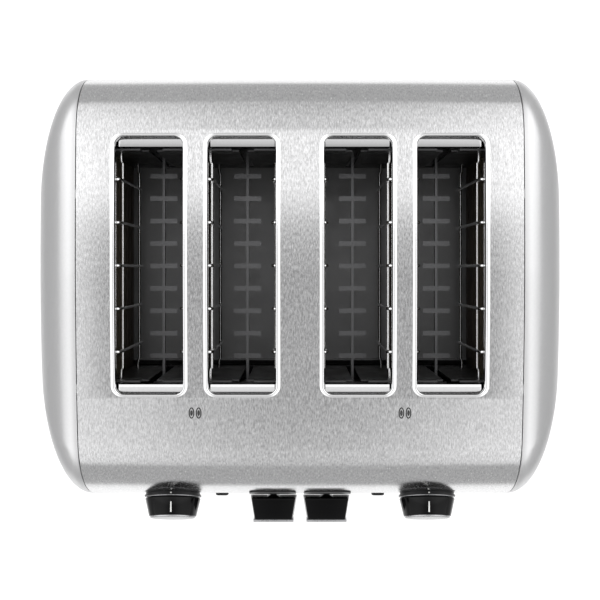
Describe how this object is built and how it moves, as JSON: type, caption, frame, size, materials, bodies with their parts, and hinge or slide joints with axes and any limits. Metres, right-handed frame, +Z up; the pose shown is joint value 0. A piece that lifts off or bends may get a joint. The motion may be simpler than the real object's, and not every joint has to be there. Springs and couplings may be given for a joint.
{
  "type": "pop up toaster",
  "caption": "Wide-bodied pop-up toaster with brushed steel wrap, domed satin end caps, wide bread wells in pairs, dials, levers and buttons on a leaning front.",
  "frame": {"origin": "on the surface the toaster stands on, at the middle of its bounding box", "axes": "+Z up, -Y towards the controls and levers, +X to the right when looking along +Y from the controls"},
  "size_m": [0.3274, 0.2764, 0.2008],
  "materials": {
    "brushed_panel": "brushed front to back",
    "satin_cap": "satin",
    "base_plastic": "fine texture",
    "foot_rubber": "matte",
    "screw_steel": "zinc plated",
    "chamber_steel": "aluminised sheet, heat dulled",
    "mica": "layered mica sheet",
    "heater_ribbon": "oxidised resistance ribbon",
    "polished_rim": "polished",
    "rod_steel": "ground",
    "spring_steel": "drawn wire",
    "coil_copper": "varnished winding",
    "circuit_board": "solder resist",
    "ring_plastic": "satin moulded",
    "gloss_black": "gloss moulded",
    "dial_silver": "spun satin",
    "trim_silver": "satin",
    "escutcheon_black": "satin moulded",
    "carriage_steel": "plated",
    "guide_wire": "bright drawn wire",
    "button_black": "satin moulded",
    "tray_steel": "satin sheet",
    "inlet_plastic": "moulded"
  },
  "bodies": {
    "root": {"top_shell": "brushed_panel", "left_end_cap": "satin_cap", "right_end_cap": "satin_cap", "base_pan": "base_plastic", "feet": "foot_rubber", "base_screws": "screw_steel", "front_plate": "chamber_steel", "rear_plate": "chamber_steel", "left_outer_wall": "chamber_steel", "right_outer_wall": "chamber_steel", "centre_wall": "chamber_steel", "left_heater_boards": "mica", "right_heater_boards": "mica", "left_heater_wires": "heater_ribbon", "right_heater_wires": "heater_ribbon", "slot_trim_1": "polished_rim", "slot_trim_2": "polished_rim", "slot_trim_3": "polished_rim", "slot_trim_4": "polished_rim", "guide_rods": "rod_steel", "latch_magnets": "coil_copper", "left_return_spring": "spring_steel", "right_return_spring": "spring_steel", "left_control_board": "circuit_board", "right_control_board": "circuit_board", "left_dial_ring": "ring_plastic", "right_dial_ring": "ring_plastic", "left_escutcheon": "escutcheon_black", "right_escutcheon": "escutcheon_black", "cord_inlet": "inlet_plastic"},
    "left_carriage_body": {"left_carriage": "carriage_steel", "left_lever": "gloss_black", "left_lever_trim": "trim_silver", "bread_rack_1": "carriage_steel", "bread_rack_2": "carriage_steel"},
    "right_carriage_body": {"right_carriage": "carriage_steel", "right_lever": "gloss_black", "right_lever_trim": "trim_silver", "bread_rack_3": "carriage_steel", "bread_rack_4": "carriage_steel"},
    "left_dial": {"left_dial_knob": "gloss_black", "left_dial_face": "dial_silver"},
    "right_dial": {"right_dial_knob": "gloss_black", "right_dial_face": "dial_silver"},
    "left_tray": {"left_crumb_tray": "tray_steel"},
    "right_tray": {"right_crumb_tray": "tray_steel"},
    "left_top_button": {"left_button_top": "button_black"},
    "left_middle_button": {"left_button_middle": "button_black"},
    "left_low_button": {"left_button_low": "button_black"},
    "right_top_button": {"right_button_top": "button_black"},
    "right_middle_button": {"right_button_middle": "button_black"},
    "right_low_button": {"right_button_low": "button_black"},
    "guide_1a": {"bread_guide_1a": "guide_wire"},
    "guide_1b": {"bread_guide_1b": "guide_wire"},
    "guide_2a": {"bread_guide_2a": "guide_wire"},
    "guide_2b": {"bread_guide_2b": "guide_wire"},
    "guide_3a": {"bread_guide_3a": "guide_wire"},
    "guide_3b": {"bread_guide_3b": "guide_wire"},
    "guide_4a": {"bread_guide_4a": "guide_wire"},
    "guide_4b": {"bread_guide_4b": "guide_wire"}
  },
  "joints": [
    {"name": "left_lever_slide", "type": "slide", "parent": "root", "child": "left_carriage_body", "axis": [0, 0, 1], "range_m": [-0.062, 0.018], "stiffness_N_per_m": 60, "springref_m": 0.01521, "deforming": ["left_return_spring"]},
    {"name": "right_lever_slide", "type": "slide", "parent": "root", "child": "right_carriage_body", "axis": [0, 0, 1], "range_m": [-0.062, 0.018], "stiffness_N_per_m": 60, "springref_m": 0.01521, "deforming": ["right_return_spring"]},
    {"name": "left_dial_turn", "type": "hinge", "parent": "root", "child": "left_dial", "pos_m": [-0.0783, -0.11619, 0.126], "axis": [0, -0.9744, 0.225], "range_deg": [-140, 140]},
    {"name": "right_dial_turn", "type": "hinge", "parent": "root", "child": "right_dial", "pos_m": [0.0783, -0.11619, 0.126], "axis": [0, -0.9744, 0.225], "range_deg": [-140, 140]},
    {"name": "left_tray_slide", "type": "slide", "parent": "root", "child": "left_tray", "axis": [0, 1, 0], "range_m": [0, 0.19]},
    {"name": "right_tray_slide", "type": "slide", "parent": "root", "child": "right_tray", "axis": [0, 1, 0], "range_m": [0, 0.19]},
    {"name": "left_top_button_press", "type": "slide", "parent": "root", "child": "left_top_button", "axis": [0, 1, 0], "range_m": [0, 0.0015], "stiffness_N_per_m": 150, "springref_m": -0.0005},
    {"name": "left_middle_button_press", "type": "slide", "parent": "root", "child": "left_middle_button", "axis": [0, 1, 0], "range_m": [0, 0.0015], "stiffness_N_per_m": 150, "springref_m": -0.0005},
    {"name": "left_low_button_press", "type": "slide", "parent": "root", "child": "left_low_button", "axis": [0, 1, 0], "range_m": [0, 0.0015], "stiffness_N_per_m": 150, "springref_m": -0.0005},
    {"name": "right_top_button_press", "type": "slide", "parent": "root", "child": "right_top_button", "axis": [0, 1, 0], "range_m": [0, 0.0015], "stiffness_N_per_m": 150, "springref_m": -0.0005},
    {"name": "right_middle_button_press", "type": "slide", "parent": "root", "child": "right_middle_button", "axis": [0, 1, 0], "range_m": [0, 0.0015], "stiffness_N_per_m": 150, "springref_m": -0.0005},
    {"name": "right_low_button_press", "type": "slide", "parent": "root", "child": "right_low_button", "axis": [0, 1, 0], "range_m": [0, 0.0015], "stiffness_N_per_m": 150, "springref_m": -0.0005},
    {"name": "guide_1a_slide", "type": "slide", "parent": "root", "child": "guide_1a", "axis": [1, 0, 0], "range_m": [-0.0022, 0.0072]},
    {"name": "guide_1b_slide", "type": "slide", "parent": "root", "child": "guide_1b", "axis": [-1, 0, 0], "range_m": [-0.0022, 0.0072]},
    {"name": "guide_2a_slide", "type": "slide", "parent": "root", "child": "guide_2a", "axis": [1, 0, 0], "range_m": [-0.0022, 0.0072]},
    {"name": "guide_2b_slide", "type": "slide", "parent": "root", "child": "guide_2b", "axis": [-1, 0, 0], "range_m": [-0.0022, 0.0072]},
    {"name": "guide_3a_slide", "type": "slide", "parent": "root", "child": "guide_3a", "axis": [1, 0, 0], "range_m": [-0.0022, 0.0072]},
    {"name": "guide_3b_slide", "type": "slide", "parent": "root", "child": "guide_3b", "axis": [-1, 0, 0], "range_m": [-0.0022, 0.0072]},
    {"name": "guide_4a_slide", "type": "slide", "parent": "root", "child": "guide_4a", "axis": [1, 0, 0], "range_m": [-0.0022, 0.0072]},
    {"name": "guide_4b_slide", "type": "slide", "parent": "root", "child": "guide_4b", "axis": [-1, 0, 0], "range_m": [-0.0022, 0.0072]}
  ],
  "couplings": [
    {"joint": "guide_1a_slide", "follows": "left_lever_slide", "ratio": -0.1129},
    {"joint": "guide_1b_slide", "follows": "left_lever_slide", "ratio": -0.1129},
    {"joint": "guide_2a_slide", "follows": "left_lever_slide", "ratio": -0.1129},
    {"joint": "guide_2b_slide", "follows": "left_lever_slide", "ratio": -0.1129},
    {"joint": "guide_3a_slide", "follows": "right_lever_slide", "ratio": -0.1129},
    {"joint": "guide_3b_slide", "follows": "right_lever_slide", "ratio": -0.1129},
    {"joint": "guide_4a_slide", "follows": "right_lever_slide", "ratio": -0.1129},
    {"joint": "guide_4b_slide", "follows": "right_lever_slide", "ratio": -0.1129}
  ]
}
